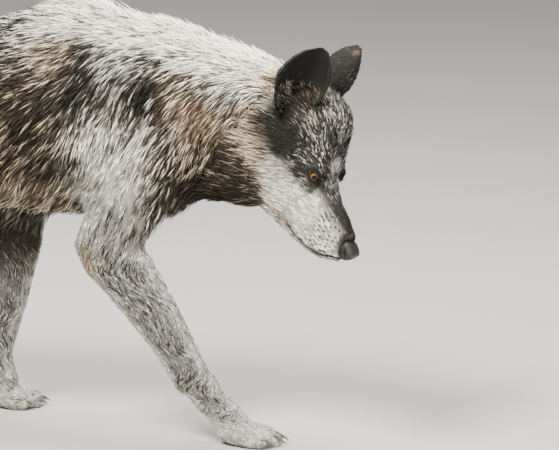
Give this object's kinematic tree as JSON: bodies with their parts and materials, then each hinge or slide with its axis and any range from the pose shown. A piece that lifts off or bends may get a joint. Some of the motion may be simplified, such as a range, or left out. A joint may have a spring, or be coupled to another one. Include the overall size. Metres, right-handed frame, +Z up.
{
  "type": "grey wolf",
  "caption": "Life-size still model of a dark, greying wolf in mid-stride, its head lowered and turned to its right, standing on its soles.",
  "frame": {"origin": "under the middle of the bounding box, on the level of the soles", "axes": "+X towards the wolf's front, +Y to its left, +Z up"},
  "size_m": [1.247, 0.2888, 0.6823],
  "materials": {
    "coat": "long dry fur, grey, cream, brown and black",
    "ear": "short dark fur",
    "eye": "wet gloss, amber",
    "nose": "damp, fine-grained",
    "claw": "satin horn"
  },
  "bodies": {
    "root": {"trunk": "coat", "neck": "coat", "head": "coat", "lower_jaw": "coat", "tail": "coat", "foreleg_left": "coat", "foreleg_right": "coat", "forefoot_left": "coat", "forefoot_right": "coat", "hind_leg_left": "coat", "hind_leg_right": "coat", "hind_foot_left": "coat", "hind_foot_right": "coat", "ear_left": "ear", "ear_right": "ear", "eye_left": "eye", "eye_right": "eye", "nose": "nose", "claw_fore_left_1": "claw", "claw_fore_left_2": "claw", "claw_fore_left_3": "claw", "claw_fore_left_4": "claw", "claw_fore_right_1": "claw", "claw_fore_right_2": "claw", "claw_fore_right_3": "claw", "claw_fore_right_4": "claw", "claw_hind_left_1": "claw", "claw_hind_left_2": "claw", "claw_hind_left_3": "claw", "claw_hind_left_4": "claw", "claw_hind_right_1": "claw", "claw_hind_right_2": "claw", "claw_hind_right_3": "claw", "claw_hind_right_4": "claw", "dewclaw_left": "claw", "dewclaw_right": "claw"}
  },
  "joints": []
}
